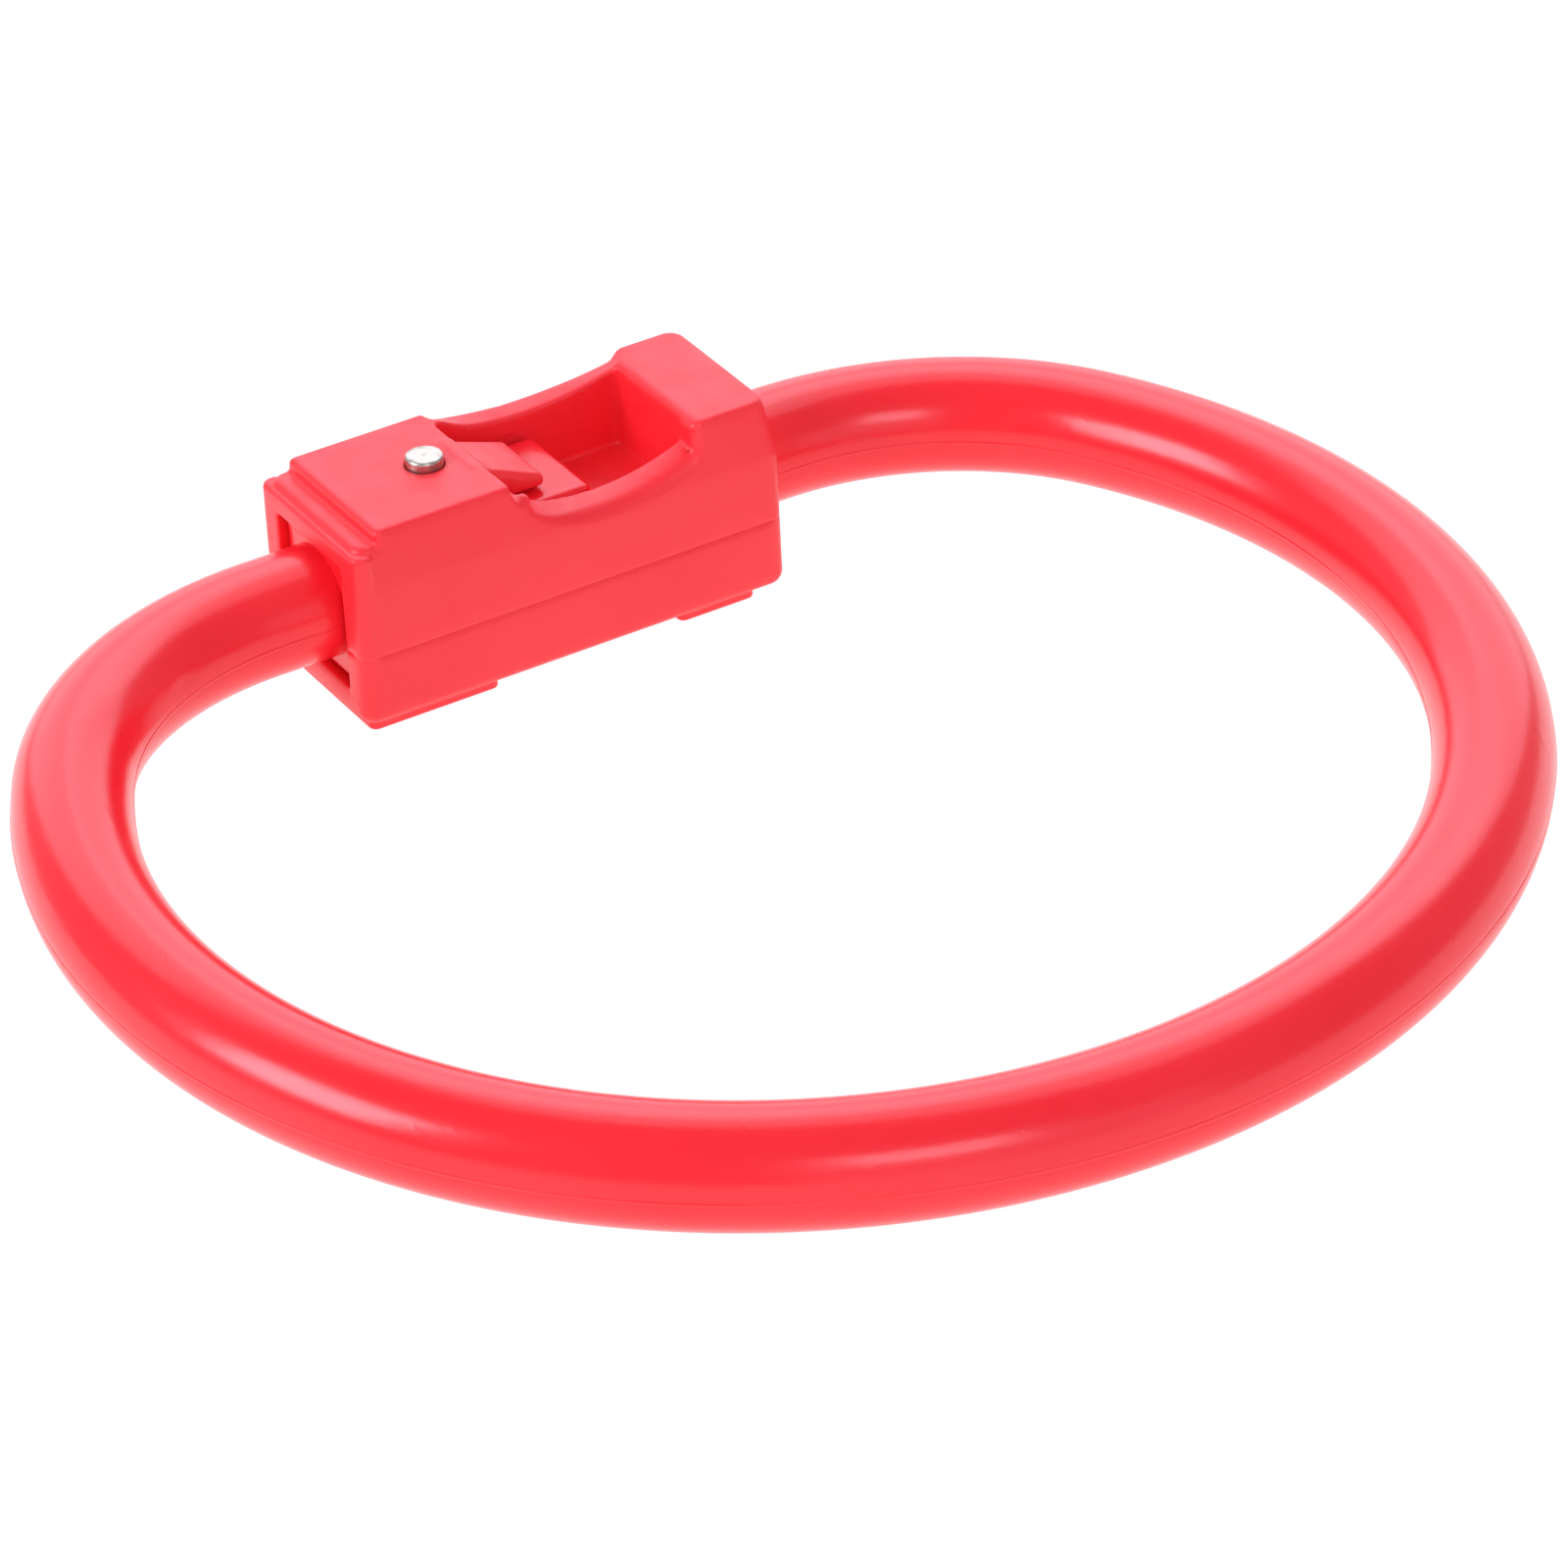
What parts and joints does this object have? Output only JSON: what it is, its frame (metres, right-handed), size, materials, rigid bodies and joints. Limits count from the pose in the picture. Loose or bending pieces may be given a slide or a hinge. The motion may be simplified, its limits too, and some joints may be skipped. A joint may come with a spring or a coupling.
{
  "type": "latching carrying ring",
  "caption": "Plastic carrying ring with one straight side, closed by a spring-loaded sliding sleeve. Pushing the sleeve along with a thumb frees the ring's tip, so the ring can be opened.",
  "frame": {"origin": "the centre of the ring's round part, in the middle plane of its bar", "axes": "+Z along the ring's axis, away from the side with the sleeve's feet; +Y from the centre towards the sleeve; +X along the sleeve, from the ring's fixed end towards its free tip"},
  "size_m": [0.1522, 0.1389, 0.0243],
  "materials": {
    "ring_plastic": "satin gloss, moulded",
    "sleeve_plastic": "semi-matt, moulded",
    "pin_steel": "sheared end, lightly rolled edge",
    "spring_steel": "drawn wire"
  },
  "bodies": {
    "ring": {"ring_body": "ring_plastic"},
    "sleeve": {"sleeve_upper_shell": "sleeve_plastic", "sleeve_lower_shell": "sleeve_plastic", "guide_pin": "pin_steel", "return_spring": "spring_steel"}
  },
  "joints": [
    {"name": "sleeve_slide", "type": "slide", "parent": "ring", "child": "sleeve", "axis": [-1, 0, 0], "range_m": [0, 0.009], "stiffness_N_per_m": 450, "springref_m": -0.006, "deforming": ["return_spring"]}
  ]
}
